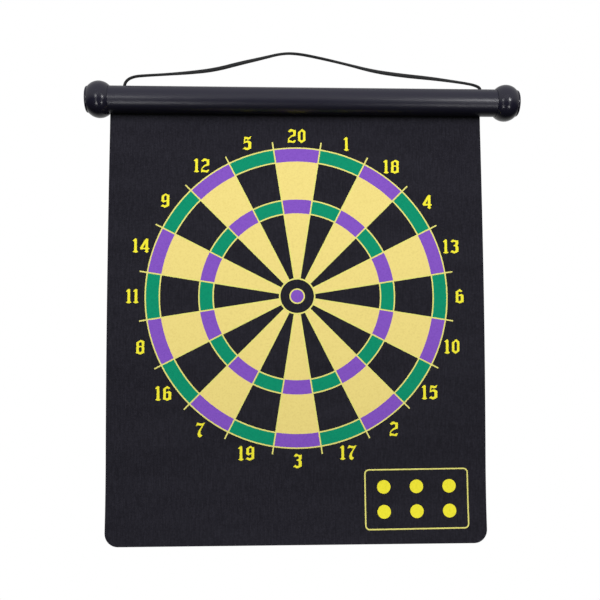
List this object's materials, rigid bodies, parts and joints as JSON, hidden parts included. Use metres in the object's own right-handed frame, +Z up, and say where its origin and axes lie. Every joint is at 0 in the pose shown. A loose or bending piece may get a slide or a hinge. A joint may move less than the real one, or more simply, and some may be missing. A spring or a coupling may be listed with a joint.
{
  "type": "magnetic dartboard",
  "caption": "Roll-up magnetic dartboard: cloth and iron-rubber laminate hanging from a ball-capped tube, with a knotted cord.",
  "frame": {"origin": "where the hook takes the hanging cord, on the cord's centre line at its crown", "axes": "X along the tube, -Y towards the player, +Z up"},
  "size_m": [0.4298, 0.0362, 0.4853],
  "materials": {
    "tube_plastic": "extruded black PVC, glossy",
    "cap_plastic": "moulded black polystyrene, satin",
    "cord": "black braided polyester lace",
    "rod_plastic": "extruded black polypropylene",
    "sheet_cloth": "black flocked cloth, screen printed",
    "sheet_core": "iron-powder rubber"
  },
  "bodies": {
    "hanger": {"hanging_cord": "cord"},
    "tube": {"tube": "tube_plastic", "left_cap": "cap_plastic", "right_cap": "cap_plastic", "left_knot": "cord", "right_knot": "cord"},
    "hem": {"retaining_rod": "rod_plastic", "back_cloth_hem": "sheet_cloth", "magnetic_core_hem": "sheet_core", "front_cloth_hem": "sheet_cloth"},
    "panel_01": {"back_cloth_01": "sheet_cloth", "magnetic_core_01": "sheet_core", "front_cloth_01": "sheet_cloth"},
    "panel_02": {"back_cloth_02": "sheet_cloth", "magnetic_core_02": "sheet_core", "front_cloth_02": "sheet_cloth"},
    "panel_03": {"back_cloth_03": "sheet_cloth", "magnetic_core_03": "sheet_core", "front_cloth_03": "sheet_cloth"},
    "panel_04": {"back_cloth_04": "sheet_cloth", "magnetic_core_04": "sheet_core", "front_cloth_04": "sheet_cloth"},
    "panel_05": {"back_cloth_05": "sheet_cloth", "magnetic_core_05": "sheet_core", "front_cloth_05": "sheet_cloth"},
    "panel_06": {"back_cloth_06": "sheet_cloth", "magnetic_core_06": "sheet_core", "front_cloth_06": "sheet_cloth"},
    "panel_07": {"back_cloth_07": "sheet_cloth", "magnetic_core_07": "sheet_core", "front_cloth_07": "sheet_cloth"},
    "panel_08": {"back_cloth_08": "sheet_cloth", "magnetic_core_08": "sheet_core", "front_cloth_08": "sheet_cloth"},
    "panel_09": {"back_cloth_09": "sheet_cloth", "magnetic_core_09": "sheet_core", "front_cloth_09": "sheet_cloth"},
    "panel_10": {"back_cloth_10": "sheet_cloth", "magnetic_core_10": "sheet_core", "front_cloth_10": "sheet_cloth"},
    "panel_11": {"back_cloth_11": "sheet_cloth", "magnetic_core_11": "sheet_core", "front_cloth_11": "sheet_cloth"},
    "panel_12": {"back_cloth_12": "sheet_cloth", "magnetic_core_12": "sheet_core", "front_cloth_12": "sheet_cloth"}
  },
  "joints": [
    {"name": "board_swing", "type": "hinge", "parent": "hanger", "child": "tube", "pos_m": [0.014, 0, -0.03325], "axis": [1, 0, 0], "range_deg": [-90, 90]},
    {"name": "sheet_slide", "type": "slide", "parent": "tube", "child": "hem", "axis": [1, 0, 0], "range_m": [0, 0.0144]},
    {"name": "sheet_roll", "type": "hinge", "parent": "hem", "child": "panel_01", "pos_m": [0.0068, 0.0045, -0.0664], "axis": [-1, 0, 0], "range_deg": [0, 25]},
    {"name": "sheet_roll_02", "type": "hinge", "parent": "panel_01", "child": "panel_02", "pos_m": [0.0068, 0.00295, -0.10122], "axis": [-1, 0, 0], "range_deg": [0, 25]},
    {"name": "sheet_roll_03", "type": "hinge", "parent": "panel_02", "child": "panel_03", "pos_m": [0.0068, 0.0015, -0.13605], "axis": [-1, 0, 0], "range_deg": [0, 25]},
    {"name": "sheet_roll_04", "type": "hinge", "parent": "panel_03", "child": "panel_04", "pos_m": [0.0068, 0.00026, -0.17087], "axis": [-1, 0, 0], "range_deg": [0, 25]},
    {"name": "sheet_roll_05", "type": "hinge", "parent": "panel_04", "child": "panel_05", "pos_m": [0.0068, -0.00069, -0.2057], "axis": [-1, 0, 0], "range_deg": [0, 25]},
    {"name": "sheet_roll_06", "type": "hinge", "parent": "panel_05", "child": "panel_06", "pos_m": [0.0068, -0.00129, -0.24052], "axis": [-1, 0, 0], "range_deg": [0, 25]},
    {"name": "sheet_roll_07", "type": "hinge", "parent": "panel_06", "child": "panel_07", "pos_m": [0.0068, -0.0015, -0.27535], "axis": [-1, 0, 0], "range_deg": [0, 25]},
    {"name": "sheet_roll_08", "type": "hinge", "parent": "panel_07", "child": "panel_08", "pos_m": [0.0068, -0.00129, -0.31017], "axis": [-1, 0, 0], "range_deg": [0, 25]},
    {"name": "sheet_roll_09", "type": "hinge", "parent": "panel_08", "child": "panel_09", "pos_m": [0.0068, -0.00069, -0.345], "axis": [-1, 0, 0], "range_deg": [0, 25]},
    {"name": "sheet_roll_10", "type": "hinge", "parent": "panel_09", "child": "panel_10", "pos_m": [0.0068, 0.00026, -0.37983], "axis": [-1, 0, 0], "range_deg": [0, 25]},
    {"name": "sheet_roll_11", "type": "hinge", "parent": "panel_10", "child": "panel_11", "pos_m": [0.0068, 0.00134, -0.41465], "axis": [-1, 0, 0], "range_deg": [0, 25]},
    {"name": "sheet_roll_12", "type": "hinge", "parent": "panel_11", "child": "panel_12", "pos_m": [0.0068, 0.00091, -0.44948], "axis": [-1, 0, 0], "range_deg": [0, 25]}
  ],
  "couplings": [
    {"joint": "sheet_roll_02", "follows": "sheet_roll", "ratio": 1},
    {"joint": "sheet_roll_03", "follows": "sheet_roll", "ratio": 1},
    {"joint": "sheet_roll_04", "follows": "sheet_roll", "ratio": 1},
    {"joint": "sheet_roll_05", "follows": "sheet_roll", "ratio": 1},
    {"joint": "sheet_roll_06", "follows": "sheet_roll", "ratio": 1},
    {"joint": "sheet_roll_07", "follows": "sheet_roll", "ratio": 1},
    {"joint": "sheet_roll_08", "follows": "sheet_roll", "ratio": 1},
    {"joint": "sheet_roll_09", "follows": "sheet_roll", "ratio": 1},
    {"joint": "sheet_roll_10", "follows": "sheet_roll", "ratio": 1},
    {"joint": "sheet_roll_11", "follows": "sheet_roll", "ratio": 1},
    {"joint": "sheet_roll_12", "follows": "sheet_roll", "ratio": 1}
  ]
}
